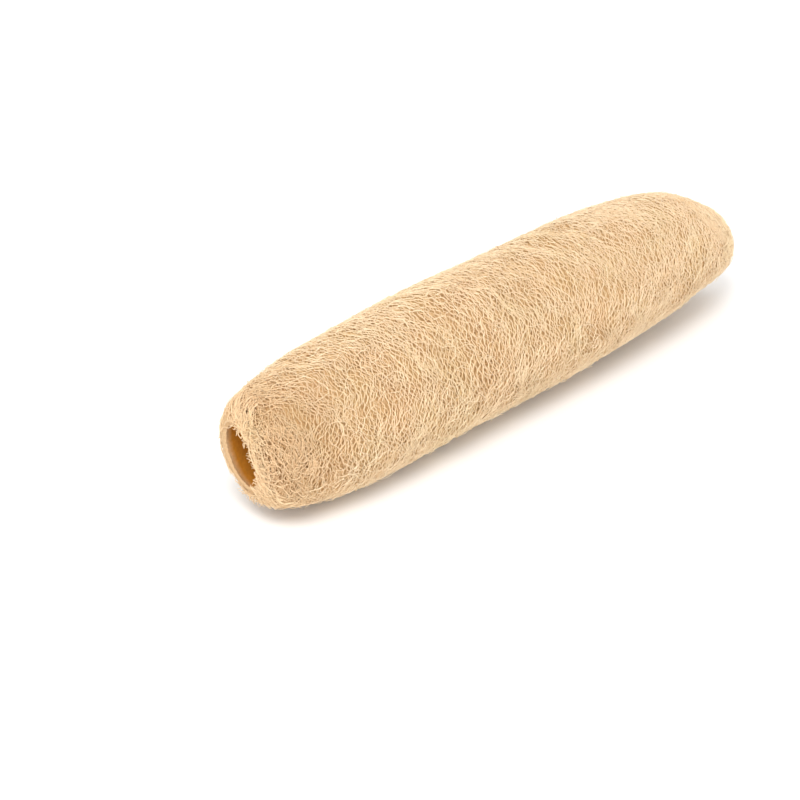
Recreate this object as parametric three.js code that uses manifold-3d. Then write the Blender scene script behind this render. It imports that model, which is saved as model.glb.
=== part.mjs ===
// A natural loofah sponge: the dried fibre skeleton of one whole loofah gourd, lying on its side.
// It is one solid, in millimetres, with +Z up. +X runs along the gourd, from its trimmed open end
// to its closed round tip, and the origin is at the middle of its box, on the surface it lies on.
// The skin is a raised net of strands that run round the body, with a sunk pit in each mesh of
// the net. A seed channel opens in the trimmed end, with a fringe of torn fibres at its mouth.
import * as THREE from "three";
import { mergeVertices } from "three/addons/utils/BufferGeometryUtils.js";
import Module from "manifold-3d";

const wasm = await Module();
wasm.setup();

// The body. u is the distance along the gourd from its trimmed end.
const LENGTH = 405;
const AXIS_HEIGHT = 43.4; // middle of the centre line above the surface
const AXIS_RISE = 4.2; // how much higher the tip's end of the centre line is
const BOW = 3.4; // how far the middle of the body bows sideways, to +Y
const TIP_DROOP = 9.2;
const TIP_START = 0.88; // share of the length where the tip starts to droop

// The slow unevenness of the radius, as waves: size, turns round the body, and phases.
const SWELL_WAVES = [
  { size: 0.54, round: 3, along: 2.5, phase: 2.1 },
  { size: 0.45, round: 1, along: 17, phase: 0.7 },
  { size: 0.36, round: 2, along: -9, phase: 0 },
];
const SWELL_FROM = 10; // no swell at radii below this
const SWELL_TO = 36; // full swell at radii above this

// The outline: u and radius, from the middle of the trimmed end face to the tip.
const OUTLINE = [
  [0, 0],
  [0.6, 14],
  [3.5, 23.9],
  [10, 32.2],
  [26, 37.5],
  [60, 43.2],
  [125, 45.5],
  [205, 45.4],
  [280, 43.6],
  [335, 39.5],
  [366, 33.6],
  [387.5, 26.9],
  [400, 19.7],
  [404.2, 8],
  [405, 0],
];

// The net: meshes round the body, and the distance between rows of knots along the outline.
const MESHES_ROUND = 18;
const ROW_PITCH = 4.4;
const KNOT_RISE = 0.6;
const KNOT_SPREAD = 0.7; // share by which knots differ in height
const PIT_DEPTH = 3.2;
const PIT_SPREAD = 0.4; // share by which pits differ in depth
const KNOT_SCATTER = 1.0; // how far a knot strays along the body
const TURN_SCATTER = 0.18; // how far a knot strays round it, as a share of a mesh
const ROW_WAVE = 4; // slow wave of the rows along the body
const ROW_WAVE_TURN = 0.09; // how far the wave turns round the body from row to row, in radians
const POLE_RADIUS = 3.5; // the net stops this far from the outline's two ends
const NET_SEED = 4806;
const OUTLINE_SAMPLES = 1200;

// The underside, where the net is pressed flat on the surface.
const FLAT_FROM = 14; // degrees from straight down where the pits start
const FLAT_TO = 30; // degrees from straight down where they are full

// The seed channel: a squared oval beside the end face's middle, leaning along the outer wall.
const CHANNEL_MIDDLE = [6.4, -2.0]; // along Y and Z from the end face's middle
const CHANNEL_HALF_WIDTH = 12.8;
const CHANNEL_HALF_HEIGHT = 19.8;
const CHANNEL_LEAN = -23; // degrees from +Y towards +Z
const CHANNEL_CORNER = 0.76; // 1 is an oval, and less is squarer
const CHANNEL_DEPTH = 330;
const CHANNEL_END = 40; // length over which it closes at its far end
const CHANNEL_TAPER = 6.5; // how much it narrows at its far end
const CHANNEL_SIDES = 22;
const MOUTH_FLARE = 1.2;
const MOUTH_FLARE_LENGTH = 5;

// The fringe of torn fibres round the channel's mouth, on the core's side and on the outer wall's.
// from and to are places on the channel's edge, and inset is how far outside it the roots are.
const CORE_FRINGE = { count: 28, from: 0.29, to: 0.71, inset: [1.2, 2.8], inwards: 0.7, forwards: 0.75 };
const WALL_FRINGE = { count: 9, from: 0.72, to: 1.22, inset: [2.5, 4], inwards: -0.6, forwards: 0.9 };
const FIBRE_LENGTH = 7.5;
const FIBRE_LENGTH_SPREAD = 0.25;
const FIBRE_RADIUS = 0.75;
const FIBRE_TAPER = 0.55; // share of the radius that is lost at the end
const FIBRE_BEND = 0.55;
const FIBRE_ROOT = 3; // how deep a fibre starts in the body
const FIBRE_STEPS = 2;
const FIBRE_SIDES = 3;
const FIBRE_SIDEWAYS = 0.55; // how far a fibre may lean along the edge, as a share of its way across
const FIBRE_FORWARDS = [0.8, 1.2]; // how much fibres differ in how far they stand out of the mouth
const FIBRE_CURL = [0.2, 0.8];
const FIBRE_CURL_BACK = 0.7; // the most that a curl turns back into the mouth
const FRINGE_SEED = 918;

const BLOCK_HEIGHT = 40; // of the block that presses the underside flat
const SAME_POINT = 1e-4; // vertices this close together are one

// A repeatable random number from 0 to 1.
function randomFrom(seed) {
  let state = seed;
  return () => {
    state = (state + 0x6d2b79f5) | 0;
    let t = Math.imul(state ^ (state >>> 15), 1 | state);
    t = (t + Math.imul(t ^ (t >>> 7), 61 | t)) ^ t;
    return ((t ^ (t >>> 14)) >>> 0) / 4294967296;
  };
}

const radians = THREE.MathUtils.degToRad;
const smooth = THREE.MathUtils.smoothstep;

// The centre line's place at u.
function centre(u) {
  const t = THREE.MathUtils.clamp(u / LENGTH, 0, 1);
  const y = BOW * (0.5 - (2 * t - 1) ** 2);
  const z = AXIS_HEIGHT + AXIS_RISE * (t - 0.5) - TIP_DROOP * smooth(t, TIP_START, 1);
  return new THREE.Vector3(u - LENGTH / 2, y, z);
}

// The slow swell of the radius: broad flats and bulges, as the gourd grew.
function swell(u, angle) {
  const along = u / LENGTH;
  return SWELL_WAVES.reduce(
    (sum, wave) => sum + wave.size * Math.sin(wave.round * angle + wave.along * along + wave.phase),
    0,
  );
}

// A point of the skin, rise above it. angle is 0 at +Y and 90 degrees at +Z.
function skinPoint(u, radius, angle, rise) {
  const grown = swell(u, angle) * smooth(radius, SWELL_FROM, SWELL_TO);
  const r = Math.max(radius + grown, 0);
  const lean = endLean(u);
  const c = centre(u);
  return new THREE.Vector3(
    c.x - rise * lean.x,
    c.y + (r + rise * lean.y) * Math.cos(angle),
    c.z + (r + rise * lean.y) * Math.sin(angle),
  );
}

// How the outline faces at u: x is towards the trimmed end, and y is away from the axis.
function endLean(u) {
  const t = curveAt(u);
  const tangent = outlineCurve.getTangentAt(t);
  return new THREE.Vector2(tangent.y, tangent.x).normalize();
}

const outlineCurve = new THREE.SplineCurve(OUTLINE.map(([u, r]) => new THREE.Vector2(u, r)));
outlineCurve.arcLengthDivisions = OUTLINE_SAMPLES;

// The share of the outline's length that has been passed at u.
const outlineSamples = outlineCurve.getSpacedPoints(OUTLINE_SAMPLES);
function curveAt(u) {
  const found = outlineSamples.findIndex((p) => p.x >= u);
  return (found < 0 ? outlineSamples.length - 1 : found) / (outlineSamples.length - 1);
}

// How much of the relief shows at this angle: none on the flat underside.
function reliefAt(angle) {
  const fromBelow = Math.acos(THREE.MathUtils.clamp(-Math.sin(angle), -1, 1));
  return smooth(THREE.MathUtils.radToDeg(fromBelow), FLAT_FROM, FLAT_TO);
}

// The body with its net: knots in staggered rows, and a pit in the middle of each mesh.
function netBody() {
  const random = randomFrom(NET_SEED);
  const vertices = [];
  const faces = [];
  const add = (p) => vertices.push(p.x, p.y, p.z) / 3 - 1;

  const inSpan = outlineSamples.filter((p) => p.y >= POLE_RADIUS);
  const first = curveAt(inSpan[0].x);
  const last = curveAt(inSpan[inSpan.length - 1].x);
  const span = (last - first) * outlineCurve.getLength();
  const rows = Math.round(span / ROW_PITCH);
  const mesh = (2 * Math.PI) / MESHES_ROUND;

  const place = (row, turn, rise, strayAlong, strayRound) => {
    const angle = (turn + strayRound) * mesh;
    const wave = ROW_WAVE * Math.sin(angle + ROW_WAVE_TURN * row) * Math.sin((Math.PI * row) / rows);
    const along = (row * span) / rows + strayAlong + wave;
    const share = first + (last - first) * THREE.MathUtils.clamp(along / span, 0, 1);
    const p = outlineCurve.getPointAt(share);
    return skinPoint(p.x, p.y, angle, rise * reliefAt(angle));
  };

  const knots = [];
  for (let row = 0; row <= rows; row++) {
    const atEnd = row === 0 || row === rows;
    const scatter = atEnd ? 0 : 1;
    knots.push(
      Array.from({ length: MESHES_ROUND }, (_, i) =>
        add(
          place(
            row,
            i + (row % 2) / 2,
            scatter * KNOT_RISE * (1 + KNOT_SPREAD * (2 * random() - 1)),
            scatter * KNOT_SCATTER * (2 * random() - 1),
            scatter * TURN_SCATTER * (2 * random() - 1),
          ),
        ),
      ),
    );
  }
  const knot = (row, i) => knots[row][(i + MESHES_ROUND) % MESHES_ROUND];

  for (let row = 0; row <= rows; row++) {
    const shift = row % 2;
    for (let i = 0; i < MESHES_ROUND; i++) {
      const left = knot(row, i);
      const right = knot(row, i + 1);
      const before = row > 0 ? knot(row - 1, i + shift) : null;
      const after = row < rows ? knot(row + 1, i + shift) : null;
      if (before === null) {
        faces.push(left, right, after);
      } else if (after === null) {
        faces.push(left, before, right);
      } else {
        const depth = PIT_DEPTH * (1 - PIT_SPREAD * random());
        const pit = add(place(row, i + 0.5 + shift / 2, -depth, 0, 0));
        faces.push(left, before, pit, before, right, pit, right, after, pit, after, left, pit);
      }
    }
  }

  const nearPole = add(skinPoint(0, 0, 0, 0));
  const tipPole = add(skinPoint(LENGTH, 0, 0, 0));
  for (let i = 0; i < MESHES_ROUND; i++) {
    faces.push(nearPole, knot(0, i + 1), knot(0, i));
    faces.push(tipPole, knot(rows, i), knot(rows, i + 1));
  }
  return geometryOf(vertices, faces);
}

function geometryOf(vertices, faces) {
  const geometry = new THREE.BufferGeometry();
  geometry.setAttribute("position", new THREE.Float32BufferAttribute(vertices, 3));
  geometry.setIndex(faces);
  return geometry;
}

// A point of the channel's section, from the middle of the end face. turn runs from 0 to 1, starts
// on the outer wall's side and passes the core's side half way.
function channelPoint(turn, grow) {
  const phase = 2 * Math.PI * turn;
  const square = (v) => Math.sign(v) * Math.abs(v) ** CHANNEL_CORNER;
  const across = (CHANNEL_HALF_WIDTH + grow) * square(Math.cos(phase));
  const up = (CHANNEL_HALF_HEIGHT + grow) * square(Math.sin(phase));
  const point = new THREE.Vector2(across, up);
  return point.rotateAround(new THREE.Vector2(), radians(CHANNEL_LEAN)).add(channelMiddle);
}
const channelMiddle = new THREE.Vector2(...CHANNEL_MIDDLE);

// The channel as a solid to cut: straight along X, flared at the mouth and closing at its end.
function channelCutter() {
  const origin = centre(0);
  const stations = [
    [-MOUTH_FLARE_LENGTH, MOUTH_FLARE],
    [MOUTH_FLARE_LENGTH / 2, MOUTH_FLARE],
    [MOUTH_FLARE_LENGTH, 0],
    [CHANNEL_DEPTH / 2, 0],
    [CHANNEL_DEPTH - CHANNEL_END, 0],
    [CHANNEL_DEPTH - CHANNEL_END / 3, -CHANNEL_TAPER / 2],
    [CHANNEL_DEPTH, -CHANNEL_TAPER],
  ];
  const vertices = [];
  const faces = [];
  for (const [u, grow] of stations) {
    for (let i = 0; i < CHANNEL_SIDES; i++) {
      const p = channelPoint(i / CHANNEL_SIDES, grow);
      vertices.push(origin.x + u, origin.y + p.x, origin.z + p.y);
    }
  }
  for (let row = 0; row + 1 < stations.length; row++) {
    for (let i = 0; i < CHANNEL_SIDES; i++) {
      const next = (i + 1) % CHANNEL_SIDES;
      const [a, b] = [row * CHANNEL_SIDES + i, row * CHANNEL_SIDES + next];
      const [c, d] = [a + CHANNEL_SIDES, b + CHANNEL_SIDES];
      faces.push(a, b, c, b, d, c);
    }
  }
  capRing(vertices, faces, 0, CHANNEL_SIDES, false);
  capRing(vertices, faces, (stations.length - 1) * CHANNEL_SIDES, CHANNEL_SIDES, true);
  return geometryOf(vertices, faces);
}

// Closes a ring of vertices with a fan round its middle.
function capRing(vertices, faces, start, sides, isEnd) {
  const middle = new THREE.Vector3();
  for (let i = start; i < start + sides; i++) {
    middle.add(new THREE.Vector3().fromArray(vertices, 3 * i));
  }
  middle.divideScalar(sides);
  const hub = vertices.push(middle.x, middle.y, middle.z) / 3 - 1;
  for (let i = 0; i < sides; i++) {
    const [a, b] = [start + i, start + ((i + 1) % sides)];
    faces.push(hub, ...(isEnd ? [a, b] : [b, a]));
  }
}

// One torn fibre: a tapered tube with few sides, curling from its root along a direction.
function fibre(root, direction, curl, length) {
  const vertices = [];
  const faces = [];
  const sideways = new THREE.Vector3().crossVectors(direction, curl).normalize();
  for (let step = 0; step <= FIBRE_STEPS; step++) {
    const t = step / FIBRE_STEPS;
    const spine = root
      .clone()
      .addScaledVector(direction, length * t)
      .addScaledVector(curl, length * FIBRE_BEND * t * t);
    const along = direction.clone().addScaledVector(curl, 2 * FIBRE_BEND * t).normalize();
    const across = new THREE.Vector3().crossVectors(along, sideways);
    const radius = FIBRE_RADIUS * (1 - FIBRE_TAPER * t);
    for (let i = 0; i < FIBRE_SIDES; i++) {
      const a = (2 * Math.PI * i) / FIBRE_SIDES;
      const p = spine
        .clone()
        .addScaledVector(sideways, radius * Math.cos(a))
        .addScaledVector(across, radius * Math.sin(a));
      vertices.push(p.x, p.y, p.z);
    }
  }
  for (let row = 0; row < FIBRE_STEPS; row++) {
    for (let i = 0; i < FIBRE_SIDES; i++) {
      const next = (i + 1) % FIBRE_SIDES;
      const [a, b] = [row * FIBRE_SIDES + i, row * FIBRE_SIDES + next];
      faces.push(a, b, a + FIBRE_SIDES, b, b + FIBRE_SIDES, a + FIBRE_SIDES);
    }
  }
  capRing(vertices, faces, 0, FIBRE_SIDES, false);
  capRing(vertices, faces, FIBRE_STEPS * FIBRE_SIDES, FIBRE_SIDES, true);
  return geometryOf(vertices, faces);
}

// The fringe: many fibres curl into the mouth from the core's side, and fewer stand out from the
// outer wall's rim.
function fringe() {
  const random = randomFrom(FRINGE_SEED);
  const between = (low, high) => low + (high - low) * random();
  const origin = centre(0);

  const one = (side, i) => {
    const turn = side.from + ((side.to - side.from) * (i + random())) / side.count;
    const edge = channelPoint(turn, between(...side.inset));
    const across = channelMiddle.clone().sub(edge).normalize();
    const sideways = between(-FIBRE_SIDEWAYS, FIBRE_SIDEWAYS);
    const root = new THREE.Vector3(origin.x + FIBRE_ROOT, origin.y + edge.x, origin.z + edge.y);
    const direction = new THREE.Vector3(
      -side.forwards * between(...FIBRE_FORWARDS),
      side.inwards * across.x - sideways * across.y,
      side.inwards * across.y + sideways * across.x,
    ).normalize();
    const bend = Math.sign(side.inwards) * between(...FIBRE_CURL);
    const back = between(0, FIBRE_CURL_BACK);
    const curl = new THREE.Vector3(back, across.x, across.y).multiplyScalar(bend);
    const spread = between(-FIBRE_LENGTH_SPREAD, FIBRE_LENGTH_SPREAD);
    return fibre(root, direction, curl, FIBRE_LENGTH * (1 + spread));
  };
  return [CORE_FRINGE, WALL_FRINGE].flatMap((side) =>
    Array.from({ length: side.count }, (_, i) => one(side, i)),
  );
}

function solidOf(geometry) {
  const merged = mergeVertices(geometry, SAME_POINT);
  const faces = new Uint32Array(merged.index.array);
  return new wasm.Manifold(
    new wasm.Mesh({
      numProp: 3,
      vertProperties: new Float32Array(merged.attributes.position.array),
      triVerts: faces,
    }),
  );
}

// The block below the surface, which presses the underside flat.
function belowSurface() {
  const block = new THREE.BoxGeometry(2 * LENGTH, LENGTH, BLOCK_HEIGHT);
  block.translate(0, 0, -BLOCK_HEIGHT / 2);
  block.deleteAttribute("normal");
  block.deleteAttribute("uv");
  return block;
}

// The one body, without loose scraps and with any sealed hollow filled.
function largestBody(solid) {
  return solid.decompose().reduce((best, one) => (one.volume() > best.volume() ? one : best));
}

function loofahGeometry() {
  let body = solidOf(netBody()).subtract(solidOf(channelCutter()));
  for (const one of fringe()) body = body.add(solidOf(one));
  body = largestBody(body.subtract(solidOf(belowSurface())));
  const { vertProperties, triVerts, numProp } = body.getMesh();
  const places = [];
  for (let i = 0; i < vertProperties.length; i += numProp) {
    places.push(...vertProperties.subarray(i, i + 3));
  }
  const geometry = geometryOf(places, [...triVerts]);
  geometry.computeBoundingBox();
  const middle = geometry.boundingBox.getCenter(new THREE.Vector3());
  geometry.translate(-middle.x, -middle.y, 0);
  geometry.computeVertexNormals();
  return geometry;
}

const loofah = new THREE.Mesh(
  loofahGeometry(),
  new THREE.MeshStandardMaterial({ color: 0xe3c694, roughness: 0.9, metalness: 0 }),
);
loofah.name = "loofah";

const part = new THREE.Group();
part.add(loofah);
export default part;
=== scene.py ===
"""A natural loofah sponge on a pale floor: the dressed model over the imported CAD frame.

The gourd's dried skeleton is built strand by strand. A mat with the seed channel's wall lies under
three layers of netted strands. Loose and crossing fibres lie on them, with closer strands on the
trimmed end, strands that cross the tip, and a frayed edge at the mouth.
Lengths are in millimetres until a mesh is made, and angles run from +Y (0) through +Z (90 degrees).
"s" is the length along the body's outline, from the end face's middle to the tip.
"""

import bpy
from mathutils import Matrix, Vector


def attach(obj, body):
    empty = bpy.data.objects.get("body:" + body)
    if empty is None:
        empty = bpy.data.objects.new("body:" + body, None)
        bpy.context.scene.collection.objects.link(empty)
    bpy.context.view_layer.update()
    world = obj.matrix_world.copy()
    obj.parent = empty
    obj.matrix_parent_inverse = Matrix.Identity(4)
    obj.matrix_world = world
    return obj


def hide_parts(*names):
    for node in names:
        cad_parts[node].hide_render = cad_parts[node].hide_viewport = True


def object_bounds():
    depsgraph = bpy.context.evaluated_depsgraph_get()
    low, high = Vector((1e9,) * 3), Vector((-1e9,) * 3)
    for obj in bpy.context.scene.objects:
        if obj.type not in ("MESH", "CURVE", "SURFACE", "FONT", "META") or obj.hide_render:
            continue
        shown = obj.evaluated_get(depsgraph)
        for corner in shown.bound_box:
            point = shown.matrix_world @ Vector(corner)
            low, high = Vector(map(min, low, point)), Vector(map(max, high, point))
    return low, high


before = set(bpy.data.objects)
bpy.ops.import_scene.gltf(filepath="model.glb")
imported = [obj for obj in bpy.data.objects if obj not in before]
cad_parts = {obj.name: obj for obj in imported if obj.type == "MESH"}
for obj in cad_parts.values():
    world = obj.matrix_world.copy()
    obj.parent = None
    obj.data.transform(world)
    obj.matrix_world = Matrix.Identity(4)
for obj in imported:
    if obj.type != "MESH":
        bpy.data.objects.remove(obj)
cad_box = [[float(v) for v in corner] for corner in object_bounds()]

import math

import bpy
import numpy as np
from mathutils import Matrix, Vector

MM = 0.001
BODY = "root"
NODE = "loofah"

# The body, as the CAD solid has it.
LENGTH = 405.0
AXIS_HEIGHT = 43.4
AXIS_RISE = 4.2
BOW = 3.4
TIP_DROOP = 9.2
TIP_START = 0.88
SWELL_WAVES = ((0.54, 3, 2.5, 2.1), (0.45, 1, 17, 0.7), (0.36, 2, -9, 0.0))
SWELL_FROM, SWELL_TO = 10.0, 36.0
OUTLINE = (
    (0, 0), (0.6, 14), (3.5, 23.9), (10, 32.2), (26, 37.5), (60, 43.2), (125, 45.5), (205, 45.4),
    (280, 43.6), (335, 39.5), (366, 33.6), (387.5, 26.9), (400, 19.7), (404.2, 8), (405, 0),
)
OUTLINE_POINTS = 4000
BOX_SHIFT = np.array([2.175, -1.826, 0.0])  # puts the box's middle over the origin

# The seed channel: a squared oval beside the end face's middle, as y and z.
CHANNEL_MIDDLE = np.array([6.4, -2.0])
CHANNEL_HALF_WIDTH, CHANNEL_HALF_HEIGHT = 12.8, 19.8
CHANNEL_LEAN = math.radians(-23)
CHANNEL_CORNER = 0.76

FLOOR_GAP = 0.45  # the lowest strands' middles lie this far above the floor
FLOOR_EASE = 0.5  # and strands start to flatten this far above that
MEAN_RADIUS = 44.0
GIRTH = 2 * np.pi * MEAN_RADIUS
FACE_S = 40.0  # the end face is built as one piece as far as this along the outline
FACE_MARGIN = 4.0
TIP_S = 48.0  # and the tip's cap of strands reaches this far from the pole

rng = np.random.default_rng(4806)


# Shape of the body

def smooth(x, low, high):
    t = np.clip((x - low) / (high - low), 0, 1)
    return t * t * (3 - 2 * t)


def spline(points, count):
    """Points along a Catmull-Rom curve, as many on each stretch."""
    p = np.array(points, float)
    last = len(p) - 1
    t = np.linspace(0, last, count)
    i = np.minimum(t.astype(int), last - 1)
    w = (t - i)[:, None]
    p0, p1, p2, p3 = p[np.maximum(i - 1, 0)], p[i], p[i + 1], p[np.minimum(i + 2, last)]
    v0, v1 = (p2 - p0) / 2, (p3 - p1) / 2
    return (2 * p1 - 2 * p2 + v0 + v1) * w**3 + (3 * p2 - 3 * p1 - 2 * v0 - v1) * w**2 + v0 * w + p1


profile = spline(OUTLINE, OUTLINE_POINTS)
profile_steps = np.diff(profile, axis=0)
profile_s = np.concatenate([[0], np.cumsum(np.hypot(*profile_steps.T))])
tangents = np.gradient(profile, profile_s, axis=0)
SPAN = profile_s[-1]  # the outline's whole length


def u_at(s):
    return np.interp(s, profile_s, profile[:, 0])


def radius_at(s):
    return np.interp(s, profile_s, profile[:, 1])


def tangent_at(s):
    return np.interp(s, profile_s, tangents[:, 0]), np.interp(s, profile_s, tangents[:, 1])


def centre(u):
    t = np.clip(u / LENGTH, 0, 1)
    y = BOW * (0.5 - (2 * t - 1) ** 2)
    z = AXIS_HEIGHT + AXIS_RISE * (t - 0.5) - TIP_DROOP * smooth(t, TIP_START, 1)
    return np.stack([u - LENGTH / 2, y, z], -1) + BOX_SHIFT


END_FACE = centre(np.array(0.0))  # the end face's middle


def swell(u, angle):
    along = u / LENGTH
    return sum(size * np.sin(n * angle + k * along + phase) for size, n, k, phase in SWELL_WAVES)


def skin(s, angle, rise):
    """Points of the skin, at a rise above it, held above the floor."""
    s = np.clip(s, 0, SPAN)
    u, radius = u_at(s), radius_at(s)
    tu, tr = tangent_at(s)
    r = radius + swell(u, angle) * smooth(radius, SWELL_FROM, SWELL_TO) + rise * tu
    c = centre(u)
    x = c[..., 0] - rise * tr
    y = c[..., 1] + r * np.cos(angle)
    z = c[..., 2] + r * np.sin(angle)
    low = FLOOR_GAP + FLOOR_EASE
    z = np.where(z < low, low - (low - FLOOR_GAP) * (1 - np.exp(-(low - z))), z)
    return np.stack([x, y, z], -1)


def skin_normal(s, angle):
    tu, tr = tangent_at(s)
    return np.stack([-tr, tu * np.cos(angle), tu * np.sin(angle)], -1)


def squared(v):
    return np.sign(v) * np.abs(v) ** CHANNEL_CORNER


def channel(turn, grow=0.0):
    """The channel's section, from the end face's middle, as y and z. Half a turn is the core's side."""
    phase = 2 * np.pi * turn
    across = (CHANNEL_HALF_WIDTH + grow) * squared(np.cos(phase))
    up = (CHANNEL_HALF_HEIGHT + grow) * squared(np.sin(phase))
    cos, sin = math.cos(CHANNEL_LEAN), math.sin(CHANNEL_LEAN)
    return CHANNEL_MIDDLE + np.stack([across * cos - up * sin, across * sin + up * cos], -1)


def in_channel(flat, grow=0.0):
    """Above 0 where a place on the end face, as y and z, is inside the channel's section."""
    y, z = flat[..., 0] - CHANNEL_MIDDLE[0], flat[..., 1] - CHANNEL_MIDDLE[1]
    cos, sin = math.cos(CHANNEL_LEAN), math.sin(CHANNEL_LEAN)
    a = np.abs(y * cos + z * sin) / (CHANNEL_HALF_WIDTH + grow)
    b = np.abs(z * cos - y * sin) / (CHANNEL_HALF_HEIGHT + grow)
    power = 2 / CHANNEL_CORNER
    return 1 - (a**power + b**power) ** (1 / power)


def on_face(flat):
    """The place along the outline and the angle of a place on the end face, as y and z."""
    near = profile_s <= FACE_S + FACE_MARGIN
    s = np.interp(np.hypot(flat[..., 0], flat[..., 1]), profile[near, 1], profile_s[near])
    return s, np.arctan2(flat[..., 1], flat[..., 0])


def on_tip(flat):
    """The same for a place on the tip."""
    near = profile_s >= SPAN - TIP_S
    s = np.interp(np.hypot(flat[..., 0], flat[..., 1]), profile[near, 1][::-1], profile_s[near][::-1])
    return s, np.arctan2(flat[..., 1], flat[..., 0])


def flat_of(s, angle):
    radius = radius_at(s)
    return np.stack([radius * np.cos(angle), radius * np.sin(angle)], -1)


# Smooth random fields on the skin

FIELD_PEAK = 1.6  # about the highest value of a field, before it is scaled to 1


def field(length_low, length_high, count):
    """A random smooth function of s and angle, about -1 to 1, with waves between two lengths."""
    lengths = rng.uniform(length_low, length_high, count)
    heading = rng.uniform(0, 2 * np.pi, count)
    k = 2 * np.pi / lengths * np.cos(heading)
    n = np.round(GIRTH / lengths * np.sin(heading))
    phase = rng.uniform(0, 2 * np.pi, count)
    size = rng.uniform(0.5, 1, count)
    size = size / math.sqrt((size**2).sum() / 2) / FIELD_PEAK

    def value(s, angle):
        total = np.zeros(np.broadcast(s, angle).shape)
        for a, b, c, d in zip(size, k, n, phase):
            total += a * np.sin(b * s + c * angle + d)
        return total

    return value


# Meshes

STRAND_SIDES = 3
MAP_COLUMNS = 8  # strands side by side in a piece's map
MAP_FILL = 0.94  # the share of its cell that a strand takes
PALE = "pale"  # the attribute that holds each point's share of felt, and the painted light on the crown
TINY = 1e-9  # keeps a length above 0


def unit(vectors):
    return vectors / (np.linalg.norm(vectors, axis=-1, keepdims=True) + TINY)


def tubes(paths, normals, radii):
    """Closed tubes along paths of one length: vertices, sides, ends and each side's map places."""
    count, steps, _ = paths.shape
    sides = STRAND_SIDES
    tangent = unit(np.gradient(paths, axis=1))
    across = unit(np.cross(tangent, normals))
    up = np.cross(across, tangent)
    turn = 2 * np.pi * np.arange(sides) / sides + np.pi / 2
    ring = np.cos(turn)[:, None] * across[:, :, None] + np.sin(turn)[:, None] * up[:, :, None]
    vertices = paths[:, :, None] + radii[..., None, None] * ring
    index = np.arange(count * steps * sides).reshape(count, steps, sides)
    after = np.roll(index, -1, axis=2)
    quads = np.stack([index[:, :-1], after[:, :-1], after[:, 1:], index[:, 1:]], -1).reshape(-1, 4)
    caps = np.concatenate([index[:, 0, ::-1], index[:, -1]])

    rows = math.ceil(count / MAP_COLUMNS)
    ranges = np.arange(count), np.arange(steps - 1), np.arange(sides)
    path, step, side = np.meshgrid(*ranges, indexing="ij")
    u = (path % MAP_COLUMNS + MAP_FILL * step / (steps - 1)) / MAP_COLUMNS
    v = (path // MAP_COLUMNS + MAP_FILL * side / sides) / rows
    u_next = u + MAP_FILL / (steps - 1) / MAP_COLUMNS
    v_next = v + MAP_FILL / sides / rows
    places = np.stack([u, v, u, v_next, u_next, v_next, u_next, v], -1).reshape(-1, 4, 2)
    return vertices.reshape(-1, 3), quads, caps, places


def grid(points):
    """A sheet of four-cornered faces over a grid of points, closed round its second axis."""
    rows, columns, _ = points.shape
    index = np.arange(rows * columns).reshape(rows, columns)
    after = np.roll(index, -1, axis=1)
    quads = np.stack([index[:-1], after[:-1], after[1:], index[1:]], -1).reshape(-1, 4)
    row, column = np.meshgrid(np.arange(rows - 1), np.arange(columns), indexing="ij")
    u, v = column / columns, MAP_FILL * row / (rows - 1)
    u_next, v_next = u + 1 / columns, v + MAP_FILL / (rows - 1)
    places = np.stack([u, v, u_next, v, u_next, v_next, u, v_next], -1).reshape(-1, 4, 2)
    no_ends = np.empty((0, 3), int)
    return points.reshape(-1, 3), quads, no_ends, places


def make_piece(name, parts, material, pale=None, rounded=False):
    """One object from several sets of vertices, sides, ends and map places."""
    vertices, quads, caps, places = [], [], [], []
    start = 0
    for number, (v, q, c, place) in enumerate(parts):
        vertices.append(v)
        quads.append(q + start)
        caps.append(c + start)
        places.append((place + [0, number]) / [1, len(parts)])
        start += len(v)
    vertices = np.concatenate(vertices) * MM
    quads = np.concatenate(quads)
    caps = np.concatenate(caps)
    corners = np.concatenate([quads.reshape(-1), caps.reshape(-1)]).astype(np.int32)
    places = np.concatenate([np.concatenate(places).reshape(-1, 2), np.zeros((caps.size, 2))])
    totals = np.concatenate([np.full(len(quads), 4), np.full(len(caps), caps.shape[1])])
    starts = np.concatenate([[0], np.cumsum(totals)[:-1]])

    mesh = bpy.data.meshes.new(name)
    mesh.vertices.add(len(vertices))
    mesh.vertices.foreach_set("co", vertices.astype(np.float32).reshape(-1))
    mesh.loops.add(len(corners))
    mesh.loops.foreach_set("vertex_index", corners)
    mesh.polygons.add(len(totals))
    mesh.polygons.foreach_set("loop_start", starts.astype(np.int32))
    mesh.polygons.foreach_set("use_smooth", np.full(len(totals), rounded))
    mesh.update(calc_edges=True)
    layer = mesh.uv_layers.new(name="OFBake")
    layer.data.foreach_set("uv", places.astype(np.float32).reshape(-1))
    if pale is not None:
        shares = mesh.attributes.new(PALE, "FLOAT", "POINT")
        shares.data.foreach_set("value", np.concatenate(pale).astype(np.float32))
    mesh.validate()
    piece = bpy.data.objects.new(name, mesh)
    bpy.context.scene.collection.objects.link(piece)
    mesh.materials.append(material)
    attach(piece, BODY)
    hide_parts(NODE)
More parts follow.
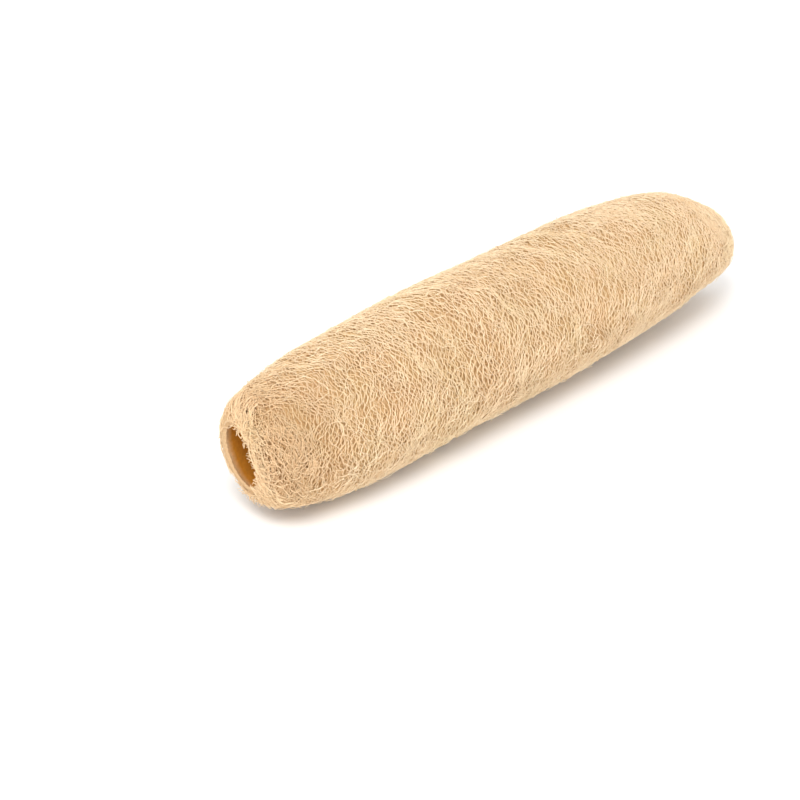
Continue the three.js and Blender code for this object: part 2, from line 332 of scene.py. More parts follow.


# Materials

# By the share of the length, a tint with painted shade: warm and dark at the mouth, palest a little past
# it, and then slowly duller towards the tip. The darkening at the mouth and towards the tip is painted
# shade.
LENGTH_TINT_AND_SHADE = (
    (0.03, (0.90, 0.80, 0.67)),
    (0.13, (1.0, 0.978, 0.925)),
    (0.5, (0.972, 0.945, 0.885)),
    (0.85, (0.94, 0.90, 0.84)),
)
FELT_COLOURS = ((0.77, 0.585, 0.385), (0.63, 0.45, 0.265))  # light and dark
PATCH_SCALE = 38.0
PATCH_COLOURS = ((0.30, (0.985, 1.0, 0.975)), (0.5, (1.0, 1.0, 1.0)), (0.70, (1.0, 0.98, 0.97)))
DARK_BELOW, LIGHT_ABOVE = 0.3, 0.62  # values of the fine noise
ROUGHNESS = 0.78
SPECULAR = 0.3
STRAND_NOISE, MAT_NOISE, WALL_NOISE = 1900.0, 1300.0, 500.0
BUMP_NOISE = 1.6  # times the colour's
BUMP_HEIGHT = 0.0004
STRAND_BUMP, MAT_BUMP, WALL_BUMP = 0.25, 0.8, 0.15
MIX_A, MIX_B, MIX_RESULT = 6, 7, 2  # a Mix node's colour sockets


def fibre_material(name, light, dark, fine=STRAND_NOISE, bump=STRAND_BUMP, pale=None):
    """Dry plant fibre: cream to tan with faint slow patches, a paler colour where there is felt, and
    painted shade along the length.
    """
    material = bpy.data.materials.new(name)
    material.use_nodes = True
    nodes, links = material.node_tree.nodes, material.node_tree.links
    shader = nodes["Principled BSDF"]
    shader.inputs["Roughness"].default_value = ROUGHNESS
    shader.inputs["Specular IOR Level"].default_value = SPECULAR
    place = nodes.new("ShaderNodeTexCoord")

    def noise(scale, detail, roughness):
        node = nodes.new("ShaderNodeTexNoise")
        node.inputs["Scale"].default_value = scale
        node.inputs["Detail"].default_value = detail
        node.inputs["Roughness"].default_value = roughness
        links.new(place.outputs["Object"], node.inputs["Vector"])
        return node.outputs["Fac"]

    def ramp(value, stops):
        node = nodes.new("ShaderNodeValToRGB")
        links.new(value, node.inputs["Fac"])
        ends = node.color_ramp.elements
        while len(ends) < len(stops):
            ends.new(0.5)
        for end, (position, colour) in zip(ends, stops):
            end.position = position
            end.color = (*colour, 1)
        return node.outputs["Color"]

    def mix(blend, share, a, b):
        node = nodes.new("ShaderNodeMix")
        node.data_type = "RGBA"
        node.blend_type = blend
        if isinstance(share, float):
            node.inputs["Factor"].default_value = share
        else:
            links.new(share, node.inputs["Factor"])
        links.new(a, node.inputs[MIX_A])
        links.new(b, node.inputs[MIX_B])
        return node.outputs[MIX_RESULT]

    colour = ramp(noise(fine, 3, 0.6), ((DARK_BELOW, dark), (LIGHT_ABOVE, light)))
    if pale is not None:
        shares = nodes.new("ShaderNodeAttribute")
        shares.attribute_name = PALE
        felted = ramp(noise(fine, 4, 0.7), ((DARK_BELOW, pale[1]), (LIGHT_ABOVE, pale[0])))
        colour = mix("MIX", shares.outputs["Fac"], colour, felted)
    patch = ramp(noise(PATCH_SCALE, 3, 0.55), PATCH_COLOURS)
    along = nodes.new("ShaderNodeSeparateXYZ")
    links.new(place.outputs["Object"], along.inputs["Vector"])
    span = nodes.new("ShaderNodeMapRange")
    span.inputs["From Min"].default_value = cad_box[0][0]
    span.inputs["From Max"].default_value = cad_box[1][0]
    links.new(along.outputs["X"], span.inputs["Value"])
    # painted shade along the length: darker at the mouth and towards the tip
    length_shade = ramp(span.outputs["Result"], LENGTH_TINT_AND_SHADE)
    colour = mix("MULTIPLY", 1.0, mix("MULTIPLY", 1.0, colour, patch), length_shade)
    links.new(colour, shader.inputs["Base Color"])
    raised = nodes.new("ShaderNodeBump")
    raised.inputs["Strength"].default_value = bump
    raised.inputs["Distance"].default_value = BUMP_HEIGHT
    links.new(noise(fine * BUMP_NOISE, 4, 0.65), raised.inputs["Height"])
    links.new(raised.outputs["Normal"], shader.inputs["Normal"])
    return material


# Copies of one fibre that get darker the deeper their layer lies: painted shade in the pits under the
# net. The loose fibres on top are the lightest.
outer_material = fibre_material("outer_fibre", (0.95, 0.79, 0.58), (0.66, 0.50, 0.32))
middle_shaded_material = fibre_material("middle_fibre_shaded", (0.87, 0.68, 0.45), (0.64, 0.46, 0.27))
inner_shaded_material = fibre_material("inner_fibre_shaded", (0.78, 0.56, 0.33), (0.58, 0.39, 0.20))
loose_material = fibre_material("loose_fibre", (0.97, 0.83, 0.63), (0.78, 0.62, 0.43))
mat_shaded_material = fibre_material(
    "mat_fibre_shaded", (0.64, 0.43, 0.23), (0.50, 0.32, 0.15), MAT_NOISE, MAT_BUMP, FELT_COLOURS
)
wall_material = fibre_material(
    "channel_wall", (0.64, 0.295, 0.03), (0.56, 0.245, 0.022), WALL_NOISE, WALL_BUMP, FELT_COLOURS
)


# Felt: where the fibres are matted to a close surface. On the crown its paler colour is also painted
# light. A pair holds the two ends of a slow change.

RIM_SIDE = (-0.3, 0.3)  # of the cosine from the outer wall's direction
RIM_REACH = (-0.75, -0.35)  # of in_channel()
UNDER_MIDDLE = math.radians(258)  # the matted belly
UNDER_HALF_WIDTH, UNDER_NEAR_MOUTH, UNDER_FADE = 0.62, 0.45, 70
UNDER_UNEVEN = 0.22
UNDER_EDGE = (-0.3, 0.25)  # of the angle past the belly's width
UNDER_SHARE = 0.85
CROWN_SIDE = (0.1, 0.7)  # of the cosine from the top
CROWN_END = (40, 95)  # of s
CROWN_SHARE = 0.28

felt_edges = field(22, 50, 16)


def rim_felt(flat):
    """1 beside the mouth on the side of the outer wall, as smooth felt, and 0 away from there."""
    side = flat - CHANNEL_MIDDLE
    wall_side = smooth(np.cos(np.arctan2(side[..., 1], side[..., 0]) - CHANNEL_LEAN), *RIM_SIDE)
    return wall_side * smooth(in_channel(flat), *RIM_REACH)


def under_felt(s, angle):
    """1 low on the body, where strands are matted together, and 0 above, with an uneven edge."""
    away = np.abs((angle - UNDER_MIDDLE + np.pi) % (2 * np.pi) - np.pi)
    near_mouth = UNDER_NEAR_MOUTH * np.exp(-s / UNDER_FADE)
    wide = UNDER_HALF_WIDTH + near_mouth + UNDER_UNEVEN * felt_edges(s, angle)
    return 1 - smooth(away - wide, *UNDER_EDGE)


def crown_felt_and_painted_light(s, angle):
    """Some felt on the upper side of the trimmed end, where the net is close, and 0 elsewhere. Its paler
    colour there is also painted light, as light falls from above.
    """
    upper = smooth(-np.cos(angle - UNDER_MIDDLE), *CROWN_SIDE)
    return CROWN_SHARE * upper * (1 - smooth(s, *CROWN_END))


def felt(s, angle):
    beside_mouth = rim_felt(flat_of(s, angle)) * (s < FACE_S)
    below = UNDER_SHARE * under_felt(s, angle)
    return np.maximum(np.maximum(beside_mouth, below), crown_felt_and_painted_light(s, angle))


# The mat under the strands, and the channel's wall

NET_DEPTH = 2.7  # how far the mat lies under the skin
FELT_DEPTH = 0.25  # the same where it is all felt
MAT_UNEVEN, MAT_SMOOTHED = 0.5, 0.3  # the mat's bumps, and how much felt takes off them
CLOSER_TO_TIP, CLOSER_ALONG = 0.45, (190, 320)  # the layers' loss of depth, and where in s it comes
MAT_ROWS, MAT_COLUMNS = 260, 200
MAT_TIP_GAP = 0.5  # the hole left at the tip's pole, under the strands
FACE_RAYS, FACE_RINGS = 200, 34
RING_POWER = 1.6  # puts the rings closer together near the mouth
LIP_DEPTH, LIP_REACH = 1.3, 0.8  # how the mouth's edge turns in
WALL_DEPTHS = (0, 1, 2.5, 4.5, 7, 10, 15, 22, 36, 60, 90, 130, 180, 230, 286, 312, 325.0)
WALL_CLOSES, WALL_NARROWS = (286, 312, 325), (0, -3, -6.5)  # depths, and how much it has narrowed
WALL_PALE_DEPTH = 4.5  # the felt's paleness goes this far into the channel


def openness(s):
    """How deep the layers lie for their place: less towards the tip, where the net is denser."""
    return 1 - CLOSER_TO_TIP * smooth(s, *CLOSER_ALONG)


def mat_rise(s, angle, bumps):
    shared = felt(s, angle)
    depth = NET_DEPTH * openness(s) * (1 - shared) + FELT_DEPTH * shared
    return (MAT_UNEVEN - MAT_SMOOTHED * shared) * bumps(s, angle) - depth


def make_mat():
    """The body's sheet, the end face's and the channel wall's, each with its share of felt."""
    bumps = field(3.5, 8, 40)
    s = np.linspace(FACE_S, SPAN - MAT_TIP_GAP, MAT_ROWS)[:, None]
    angle = np.linspace(0, 2 * np.pi, MAT_COLUMNS, endpoint=False)[None, :]
    s, angle = np.broadcast_arrays(s, angle)
    rise = mat_rise(s, angle, bumps)
    body = skin(s, angle, rise)[:, ::-1]
    body_pale = felt(s, angle)[:, ::-1]

    # The end face runs from the channel's edge out to the body, along rays from the channel's middle.
    turn = np.arange(FACE_RAYS) / FACE_RAYS
    edge = channel(turn)
    ray = edge - CHANNEL_MIDDLE
    ray /= np.linalg.norm(ray, axis=-1, keepdims=True)
    outer_radius = float(radius_at(FACE_S))
    inward = ray @ CHANNEL_MIDDLE
    along = -inward + np.sqrt(inward**2 + outer_radius**2 - CHANNEL_MIDDLE @ CHANNEL_MIDDLE)
    outer = CHANNEL_MIDDLE + ray * along[:, None]
    share = np.linspace(0, 1, FACE_RINGS)[:, None, None] ** RING_POWER
    flat = edge + (outer - edge) * share
    s_face, turned = on_face(flat)
    gone = np.linalg.norm(flat - edge, axis=-1)
    rise = mat_rise(s_face, turned, bumps) - LIP_DEPTH * np.exp(-gone / LIP_REACH)
    face = skin(s_face, turned, rise)
    face_pale = felt(s_face, turned)

    # The channel's wall goes on from the face's edge, straight into the body, and closes at its end.
    depth = np.array(WALL_DEPTHS)
    wall = []
    for d, grow in zip(depth, np.interp(depth, WALL_CLOSES, WALL_NARROWS)):
        section = END_FACE[1:] + channel(turn, grow) if d else face[0, :, 1:]
        wall.append(np.column_stack([face[0, :, 0] + d, section]))
    wall = np.stack(wall)
    back = np.repeat(wall[-1:].mean(1, keepdims=True), FACE_RAYS, axis=1)
    wall = np.concatenate([wall, back])
    depth = np.append(depth, depth[-1])
    wall_pale = face_pale[0][None, :] * (1 - smooth(depth, 0.0, WALL_PALE_DEPTH))[:, None]

    sheets = grid(body), grid(face[::-1, ::-1]), grid(wall)
    shares = body_pale.reshape(-1), face_pale[::-1, ::-1].reshape(-1), wall_pale.reshape(-1)
    return sheets, shares


sheets, shares = make_mat()
make_piece("fibre_mat", sheets[:2], mat_shaded_material, pale=shares[:2], rounded=True)
make_piece("channel_wall", sheets[2:], wall_material, pale=shares[2:], rounded=True)


# Layers of strands

NET_FROM, NET_TO = 30.0, 14.0  # the net's rows keep this far from the end face's middle and the tip
ARCS = 3  # strands in each row, end to end round the body
ARC_OVERLAP = 1.06
ROW_JITTER = 0.16  # of the pitch
SWAY, SWAY_FINE = 5.5, 1.6
PHASE_DRIFT, PHASE_RIPPLE, RIPPLES = 2.4, 0.5, 7
SPREAD_RIPPLE, SPREAD_RIPPLES = 0.4, 11
RISE_DRIFT, RISE_WAVE = 0.35, 0.25
RISE_SHIFT = 50.0  # reads the rise field at another place for each row
NET_DIVE, NET_DIVE_REACH = 1.6, 2.5  # how a strand's ends dip under its neighbours
END_TAPER = 0.5  # the share of its radius that a strand loses at its ends
NET_RADII, WALK_RADII = (0.75, 1.25), (0.7, 1.25)  # radii, times half the layer's thickness
NET_TAPER_REACH, WALK_TAPER_REACH = 2, 1.5
ROUND_BODY = np.pi / 2  # the heading of a strand that goes round the body
THINNED = 4.0  # strands start less often where the radius is below the mean by more than this
SNAKE, SNAKE_LENGTH = 0.45, 1.6  # how far a strand turns from side to side
SNAKE_BEATS = (0.5, 1.1)
SWAY_TURN = 0.5
STEP_TURN = 0.10
LEAST_RADIUS = 3.0  # keeps the turns finite at the poles
BODY_STRAND_WAVE, BODY_WAVES = 0.3, 0.9
WALK_DIVE_REACH = 2
MOUTH_MARGIN = 0.8  # a strand that comes nearer than this to the mouth is left out
NEAR_FACE, FACING = 30, 9  # past the end face: for strands over the mouth, and over the rim's felt
ALL_FELT = 0.9

sway = field(45, 100, 14)
sway_fine = field(16, 30, 20)


def net_layer(pitch, wave, spread, rise, thickness, step, own_sway):
    """Strands round the body, each touching its neighbours in turn, which leaves a net of pits."""
    rows = np.arange(NET_FROM, SPAN - NET_TO, pitch)
    steps = int(GIRTH / step / ARCS)
    waves = round(GIRTH / wave)
    phase_field = field(14, 34, 24)
    rise_field = field(4, 9, 24)
    reach = 2 * np.pi / ARCS * ARC_OVERLAP
    start = rng.uniform(0, 2 * np.pi, len(rows))
    ranges = np.arange(len(rows)), np.arange(ARCS), np.linspace(0, 1, steps)
    row, arc, t = np.meshgrid(*ranges, indexing="ij")
    angle = start[row] + 2 * np.pi * arc / ARCS + reach * t
    s0 = rows[row] + rng.normal(0, ROW_JITTER * pitch, len(rows))[row]
    wander = SWAY * own_sway(s0, angle) + SWAY_FINE * sway_fine(s0, angle)
    private = rng.uniform(0, 2 * np.pi, len(rows))[row]
    ripple = PHASE_RIPPLE * np.sin(RIPPLES * angle + private)
    phase = waves * angle + np.pi * row + PHASE_DRIFT * phase_field(s0, angle) + ripple
    size = spread * (1 + SPREAD_RIPPLE * np.sin(SPREAD_RIPPLES * angle + 2 * private))
    s = s0 + wander + size * np.sin(phase)
    drift = RISE_DRIFT * rise_field(s0 + RISE_SHIFT * np.sin(private), angle)
    lift = rise + drift + RISE_WAVE * np.cos(phase)
    lift = lift * openness(s)
    ends = np.minimum(t, 1 - t) * reach * MEAN_RADIUS
    lift = lift - NET_DIVE * np.exp(-ends / NET_DIVE_REACH)
    paths = skin(s, angle, lift).reshape(-1, steps, 3)
    normals = skin_normal(s, angle).reshape(-1, steps, 3)
    radii = thickness / 2 * rng.uniform(*NET_RADII, len(paths))[:, None] * np.ones(steps)
    radii = radii * (1 - END_TAPER * np.exp(-ends.reshape(-1, steps) / NET_TAPER_REACH))
    return paths, normals, radii


def walk_layer(count, steps, step, rise, thickness, heading_spread, curl, s_range, lift_spread=0.3,
               end_dive=1.2, own_sway=None):
    """Separate strands that wander over the skin, mostly round the body."""
    s = rng.uniform(*s_range, count)
    keep = rng.uniform(0, MEAN_RADIUS, count) < radius_at(s) + THINNED
    s = s[keep]
    count = len(s)
    angle = rng.uniform(0, 2 * np.pi, count)
    way = ROUND_BODY + rng.normal(0, heading_spread, count)
    way = way + np.pi * (rng.uniform(0, 1, count) < 0.5)
    bend = rng.normal(0, curl, count)
    phase = rng.uniform(0, 2 * np.pi, count)
    beat = rng.uniform(*SNAKE_BEATS, count)
    all_s, all_angle = np.empty((count, steps)), np.empty((count, steps))
    for i in range(steps):
        all_s[:, i], all_angle[:, i] = s, angle
        turned = way + SNAKE * np.sin(beat * i * step / SNAKE_LENGTH + phase)
        if own_sway is not None:
            turned = turned + SWAY_TURN * own_sway(s, angle)
        s = s + step * np.cos(turned)
        radius = np.maximum(radius_at(np.clip(s, 0, SPAN)), LEAST_RADIUS)
        angle = angle + step * np.sin(turned) / radius
        way = way + bend * step + rng.normal(0, STEP_TURN, count)
    t = np.linspace(0, 1, steps)[None, :]
    ends = np.minimum(t, 1 - t) * steps * step
    lift = rise + lift_spread * rng.normal(0, 1, count)[:, None]
    wave = BODY_STRAND_WAVE * np.sin(BODY_WAVES * t * steps * step / 2 + phase[:, None])
    lift = lift + wave - end_dive * np.exp(-ends / WALK_DIVE_REACH)
    paths = skin(all_s, all_angle, lift)
    normals = skin_normal(all_s, all_angle)
    radii = thickness / 2 * rng.uniform(*WALK_RADII, count)[:, None] * np.ones((1, steps))
    radii = radii * (1 - END_TAPER * np.exp(-ends / WALK_TAPER_REACH))
    return paths, normals, radii


def clear_of_mouth(layer):
    """Drops the strands that would cross the mouth or the smooth felt beside it."""
    paths, normals, radii = layer
    flat = paths[..., 1:] - END_FACE[1:]
    near = paths[..., 0] < END_FACE[0] + NEAR_FACE
    facing = paths[..., 0] < END_FACE[0] + FACING
    over_mouth = (in_channel(flat, MOUTH_MARGIN) > 0) & near
    blocked = over_mouth | ((rim_felt(flat) > ALL_FELT) & facing)
    keep = ~blocked.any(axis=1)
    return paths[keep], normals[keep], radii[keep]


def make_strands(name, layers, material):
    make_piece(name, [tubes(*clear_of_mouth(layer)) for layer in layers], material)


other_sway = field(40, 80, 14)
make_strands(
    "net_outer",
    [
        net_layer(
            pitch=2.0, wave=5.2, spread=0.75, rise=-0.05, thickness=0.54, step=1.68, own_sway=sway,
        ),
    ],
    outer_material,
)
make_strands(
    "net_middle",
    [
        net_layer(
            pitch=2.0, wave=5.8, spread=0.8, rise=-0.8, thickness=0.60, step=1.75,
            own_sway=other_sway,
        ),
    ],
    middle_shaded_material,
)
make_strands(
    "net_inner",
    [
        walk_layer(
            1900, steps=11, step=3.0, rise=-1.7, thickness=0.70, heading_spread=1.1, curl=0.03,
            s_range=(2, SPAN - 2),
        ),
    ],
    inner_shaded_material,
)
make_strands(
    "loose_fibres",
    [
        walk_layer(
            1200, steps=9, step=1.95, rise=0.30, thickness=0.44, heading_spread=0.55, curl=0.06,
            s_range=(4, SPAN - 3), lift_spread=0.25, own_sway=sway,
        ),
        walk_layer(
            1900, steps=8, step=1.5, rise=0.30, thickness=0.38, heading_spread=1.3, curl=0.17,
            s_range=(4, 330), end_dive=1.4,
        ),
        walk_layer(
            330, steps=8, step=1.3, rise=0.4, thickness=0.34, heading_spread=1.2, curl=0.10,
            s_range=(4, SPAN - 3), end_dive=-1.3,
        ),
    ],
    loose_material,
)
make_strands(
    "crossing_fibres",
    [
        walk_layer(
            1500, steps=8, step=1.8, rise=0.25, thickness=0.38, heading_spread=0.9, curl=0.08,
            s_range=(300, SPAN - 3), end_dive=1.4, own_sway=sway,
        ),
        walk_layer(
            600, steps=8, step=1.7, rise=0.65, thickness=0.38, heading_spread=1.5, curl=0.17,
            s_range=(4, SPAN - 60), end_dive=1.6,
        ),
    ],
    loose_material,
)
make_strands(
    "end_strands",
    [
        walk_layer(
            1100, steps=11, step=1.7, rise=-0.3, thickness=0.56, heading_spread=0.40, curl=0.03,
            s_range=(6, 46), lift_spread=0.35,
        ),
    ],
    outer_material,
)


# The end face and the tip. Turns are places round the channel's edge, as channel() has them.

FACE_STEPS, TIP_STEPS, TIP_STEP = 11, 8, 2.0
FACE_LENGTHS, EDGE_LENGTHS = (0.45, 1.4), (0.5, 1.4)  # shares of the stated length
FACE_BEND = 3  # at its end a strand has turned by this many times its curl
FACE_SNAKE, FACE_BEAT = 0.35, 0.9
TANGLE_SNAKE, TANGLE_BEAT = 0.5, 0.8
TIP_SNAKE = 0.4
TIP_HEADINGS, TIP_CURL = 0.9, 0.12
HEIGHTS, TANGLE_HEIGHTS = 0.35, 0.5  # how much the strands of one call differ in height
HEIGHT_BEAT = 5
FACE_WAVE, TANGLE_WAVE, TIP_WAVE, EDGE_WAVE = 0.25, 0.45, 0.3, 0.7
EDGE_BEATS = (4, 9)
EDGE_DROP = 0.5  # strands inside the mouth lie lower by this share
LIFTS, LIFT_POWER = (-0.3, 1.0), 1.5  # shares of the stated lift, and how late it comes
TIP_DIVE_REACH = 1.5
FACE_RADII, EDGE_RADII, TIP_RADII = (0.7, 1.2), (0.75, 1.2), (0.75, 1.25)
FACE_TAPER, EDGE_TAPER, TANGLE_TAPER = 0.45, 0.5, 0.4
EDGE_TAPER_POWER, TANGLE_TAPER_POWER = 6, 4

def walk(place, step, steps, heading):
    """Places along flat strands. heading(i) gives the way that each strand takes at step i."""
    flat = np.empty((len(place), steps, 2))
    for i in range(steps):
        flat[:, i] = place
        way = heading(i)
        place = place + step * np.stack([np.cos(way), np.sin(way)], -1)
    return flat


def from_middle(t, power):
    """0 at a strand's middle and 1 at its ends, more and more suddenly for a higher power."""
    return np.abs(2 * t - 1) ** power


def face_strands(count, turns, start, length, thickness, rise, lift, spread, curl, looped=False):
    """Strands that leave the channel's edge over the end face, or into the mouth for a length below 0."""
    steps = FACE_STEPS
    edge = channel(rng.uniform(*turns, count))
    out = edge - CHANNEL_MIDDLE
    out /= np.linalg.norm(out, axis=-1, keepdims=True)
    way = np.arctan2(out[:, 1], out[:, 0]) + rng.normal(0, spread, count)
    if length < 0:
        way = way + np.pi
    place = edge + out * rng.uniform(*start, count)[:, None]
    reach = abs(length) * rng.uniform(*FACE_LENGTHS, count) / (steps - 1)
    bend = curl * rng.choice((-1.0, 1.0), count) if looped else rng.normal(0, curl, count)
    phase = rng.uniform(0, 2 * np.pi, count)
    flat = walk(
        place, reach[:, None], steps,
        lambda i: way + bend * i / steps * FACE_BEND + FACE_SNAKE * np.sin(FACE_BEAT * i + phase),
    )
    s, angle = on_face(flat)
    t = np.linspace(0, 1, steps)[None, :]
    height = rise + rng.normal(0, HEIGHTS, (count, 1))
    height = height + lift * rng.uniform(*LIFTS, (count, 1)) * t**LIFT_POWER
    height = height + FACE_WAVE * np.sin(HEIGHT_BEAT * t + phase[:, None])
    radii = thickness / 2 * rng.uniform(*FACE_RADII, (count, 1)) * (1 - FACE_TAPER * t)
    return skin(s, angle, height), skin_normal(s, angle), radii


def edge_strands(count, turns, reach, away, sway_size, thickness, rise, steps=12):
    """Strands that run along the channel's edge, in and out of it."""
    start = rng.uniform(*turns, count)[:, None]
    way = rng.choice((-1.0, 1.0), count)[:, None]
    t = np.linspace(0, 1, steps)[None, :]
    phase = rng.uniform(0, 2 * np.pi, (2, count, 1))
    beat = rng.uniform(*EDGE_BEATS, (2, count, 1))
    turn = start + way * reach * rng.uniform(*EDGE_LENGTHS, (count, 1)) * t
    grow = rng.uniform(*away, (count, 1)) + sway_size * np.sin(beat[0] * t + phase[0])
    s, angle = on_face(channel(turn, grow))
    height = rise + EDGE_WAVE * np.sin(beat[1] * t + phase[1]) + EDGE_DROP * np.minimum(grow, 0)
    radii = thickness / 2 * rng.uniform(*EDGE_RADII, (count, 1))
    radii = radii * (1 - EDGE_TAPER * from_middle(t, EDGE_TAPER_POWER))
    return skin(s, angle, height), skin_normal(s, angle), radii


def tangle(count, turns, away, thickness, rise, curl, step=0.85):
    """Curly strands that lie in all directions on the end face, beside the channel's edge."""
    steps = FACE_STEPS
    place = channel(rng.uniform(*turns, count), rng.uniform(*away, count))
    way = rng.uniform(0, 2 * np.pi, count)
    bend = rng.normal(0, curl, count)
    phase = rng.uniform(0, 2 * np.pi, count)
    flat = walk(
        place, step, steps, lambda i: way + bend * i + TANGLE_SNAKE * np.sin(TANGLE_BEAT * i + phase)
    )
    s, angle = on_face(flat)
    t = np.linspace(0, 1, steps)[None, :]
    height = rise + rng.normal(0, TANGLE_HEIGHTS, (count, 1))
    height = height + TANGLE_WAVE * np.sin(HEIGHT_BEAT * t + phase[:, None])
    radii = thickness / 2 * rng.uniform(*EDGE_RADII, (count, 1))
    radii = radii * (1 - TANGLE_TAPER * from_middle(t, TANGLE_TAPER_POWER))
    return skin(s, angle, height), skin_normal(s, angle), radii


def tip_strands(count, reach, thickness, rise):
    """Strands that cross the tip in all directions."""
    steps = TIP_STEPS
    radius = reach * np.sqrt(rng.uniform(0, 1, count))
    turned = rng.uniform(0, 2 * np.pi, count)
    place = np.stack([radius * np.cos(turned), radius * np.sin(turned)], -1)
    way = turned + np.pi / 2 + rng.normal(0, TIP_HEADINGS, count)
    bend = rng.normal(0, TIP_CURL, count)
    phase = rng.uniform(0, 2 * np.pi, count)
    flat = walk(place, TIP_STEP, steps, lambda i: way + bend * i + TIP_SNAKE * np.sin(i + phase))
    s, angle = on_tip(flat)
    t = np.linspace(0, 1, steps)[None, :]
    height = rise + rng.normal(0, HEIGHTS, (count, 1))
    height = height + TIP_WAVE * np.sin(HEIGHT_BEAT * t + phase[:, None])
    height = height - np.exp(-np.minimum(t, 1 - t) * steps / TIP_DIVE_REACH)
    radii = thickness / 2 * rng.uniform(*TIP_RADII, (count, 1)) * np.ones((1, steps))
    return skin(s, angle, height), skin_normal(s, angle), radii


tip_layers = [
    tip_strands(750, reach=30.0, thickness=0.54, rise=-0.9),
    tip_strands(650, reach=27.0, thickness=0.44, rise=0.0),
]
make_piece("tip_strands", [tubes(*layer) for layer in tip_layers], outer_material)

mouth_layers = [
    edge_strands(
        9, turns=(0.27, 0.40), reach=0.13, away=(0.0, 2.0), sway_size=0.4, thickness=0.75, rise=0.5,
        steps=14,
    ),
    edge_strands(
        26, turns=(0.28, 0.72), reach=0.05, away=(-0.8, 1.2), sway_size=1.1, thickness=0.60, rise=-0.2,
    ),
    tangle(230, turns=(0.27, 0.73), away=(1.4, 11.0), thickness=0.64, rise=0.2, curl=0.16),
    tangle(120, turns=(0.27, 0.73), away=(0.8, 4.0), thickness=0.62, rise=-0.2, curl=0.26, step=0.7),
    face_strands(
        90, turns=(0.28, 0.72), start=(1.6, 4.5), length=-4.4, thickness=0.68, rise=-0.4, lift=1.2,
        spread=0.8, curl=0.9,
    ),
    face_strands(
        30, turns=(0.29, 0.71), start=(0.8, 2.0), length=-4.6, thickness=0.66, rise=-0.8, lift=1.4,
        spread=0.6, curl=1.1,
    ),
    face_strands(
        6, turns=(0.31, 0.41), start=(0.0, 0.8), length=-8.0, thickness=0.74, rise=-0.5, lift=0.8,
        spread=0.5, curl=1.25, looped=True,
    ),
    face_strands(
        90, turns=(0.25, 0.76), start=(-0.5, 4.0), length=12.0, thickness=0.66, rise=0.2, lift=1.2,
        spread=0.5, curl=0.4,
    ),
    face_strands(
        90, turns=(0.70, 0.88), start=(1.5, 7.0), length=6.5, thickness=0.55, rise=0.3, lift=3.2,
        spread=0.5, curl=0.6,
    ),
    face_strands(
        80, turns=(0.90, 1.27), start=(3.0, 11.0), length=6.0, thickness=0.45, rise=0.0, lift=0.9,
        spread=0.9, curl=0.5,
    ),
]
make_piece("mouth_fray", [tubes(*layer) for layer in mouth_layers], loose_material)


# Floor, light and camera, in metres

WORLD_COLOUR, WORLD_STRENGTH = (1.0, 1.0, 1.0), 1.045
FLOOR_HALF = 6.0
FLOOR_COLOUR, FLOOR_ROUGHNESS = (0.93, 0.93, 0.93), 0.9
LIGHT_TARGET = (0, 0, 0.04)
LIGHTS = (("key", (-1.15, -0.75, 2.2), 1.4, 33), ("fill", (-0.3, -1.9, 0.4), 1.2, 8))
CAMERA_AZIMUTH = math.radians(-45.72)
CAMERA_ELEVATION = math.radians(27.11)
CAMERA_DISTANCE = 1.5064
CAMERA_ROLL = -0.0232
CAMERA_TARGET = Vector((-0.0003, -0.00555, 0.04135))
CAMERA_FAR = 30
FOCAL_PIXELS = 2501.2
AXIS_PIXEL = (500.1, 339.8)  # where the target shows in the 800 pixel frame
FRAME_PIXELS = 800
SENSOR = 36.0


def make_world():
    world = bpy.data.worlds.new("studio")
    bpy.context.scene.world = world
    world.use_nodes = True
    background = world.node_tree.nodes["Background"]
    background.inputs["Color"].default_value = (*WORLD_COLOUR, 1)
    background.inputs["Strength"].default_value = WORLD_STRENGTH


def area_light(name, place, size, power):
    light = bpy.data.lights.new(name, "AREA")
    light.shape = "DISK"
    light.size = size
    light.energy = power
    lamp = bpy.data.objects.new(name, light)
    lamp.location = place
    lamp.rotation_euler = (Vector(LIGHT_TARGET) - Vector(place)).to_track_quat("-Z", "Y").to_euler()
    bpy.context.scene.collection.objects.link(lamp)


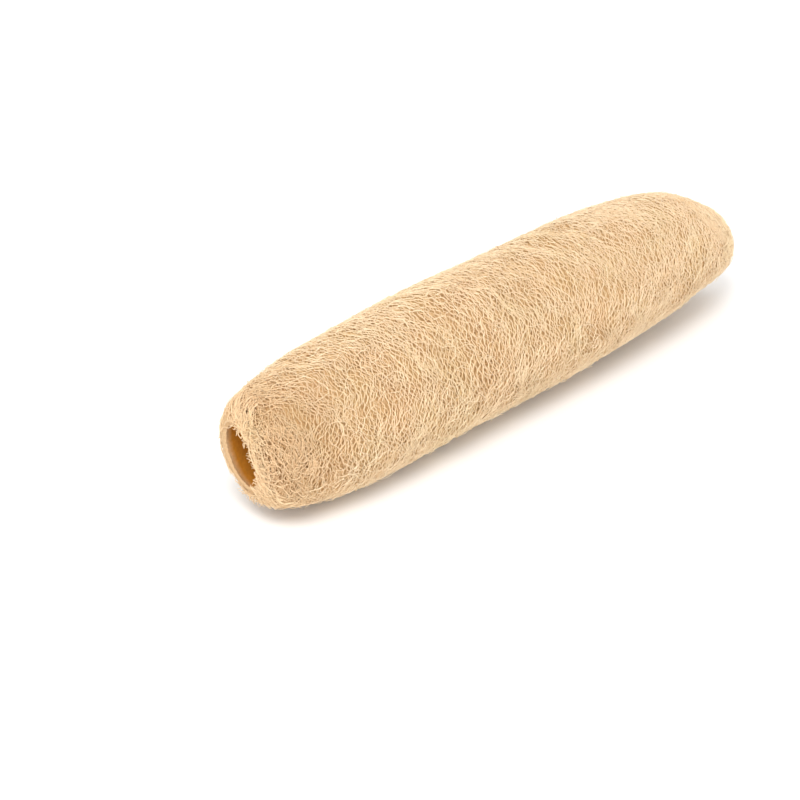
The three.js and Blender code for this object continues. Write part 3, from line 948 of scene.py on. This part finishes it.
def make_floor():
    mesh = bpy.data.meshes.new("floor")
    h = FLOOR_HALF
    mesh.from_pydata([(-h, -h, 0), (h, -h, 0), (h, h, 0), (-h, h, 0)], [], [(0, 1, 2, 3)])
    floor = bpy.data.objects.new("floor", mesh)
    bpy.context.scene.collection.objects.link(floor)
    material = bpy.data.materials.new("floor_white")
    material.use_nodes = True
    shader = material.node_tree.nodes["Principled BSDF"]
    shader.inputs["Base Color"].default_value = (*FLOOR_COLOUR, 1)
    shader.inputs["Roughness"].default_value = FLOOR_ROUGHNESS
    mesh.materials.append(material)


def make_camera():
    """A camera that looks so far beside its target that the target shows at AXIS_PIXEL."""
    cos_a, sin_a = math.cos(CAMERA_AZIMUTH), math.sin(CAMERA_AZIMUTH)
    cos_e, sin_e = math.cos(CAMERA_ELEVATION), math.sin(CAMERA_ELEVATION)
    back = Vector((sin_a * cos_e, -cos_a * cos_e, sin_e))
    right = Vector((cos_a, sin_a, 0))
    up = back.cross(right)
    half = FRAME_PIXELS / 2
    ahead = -back + (right * (half - AXIS_PIXEL[0]) - up * (half - AXIS_PIXEL[1])) / FOCAL_PIXELS
    new_back = -ahead.normalized()
    new_right = up.cross(new_back).normalized()
    new_up = new_back.cross(new_right)
    cos_r, sin_r = math.cos(CAMERA_ROLL), math.sin(CAMERA_ROLL)
    new_right, new_up = new_right * cos_r + new_up * sin_r, new_up * cos_r - new_right * sin_r
    turn = Matrix((new_right, new_up, new_back)).transposed().to_4x4()

    data = bpy.data.cameras.new("camera")
    data.sensor_width = SENSOR
    data.lens = FOCAL_PIXELS * SENSOR / FRAME_PIXELS
    data.clip_end = CAMERA_FAR
    camera = bpy.data.objects.new("camera", data)
    camera.matrix_world = Matrix.Translation(CAMERA_TARGET + back * CAMERA_DISTANCE) @ turn
    bpy.context.scene.collection.objects.link(camera)
    bpy.context.scene.camera = camera


make_floor()
make_world()
for light in LIGHTS:
    area_light(*light)
bpy.context.scene.view_settings.view_transform = "Standard"
make_camera()
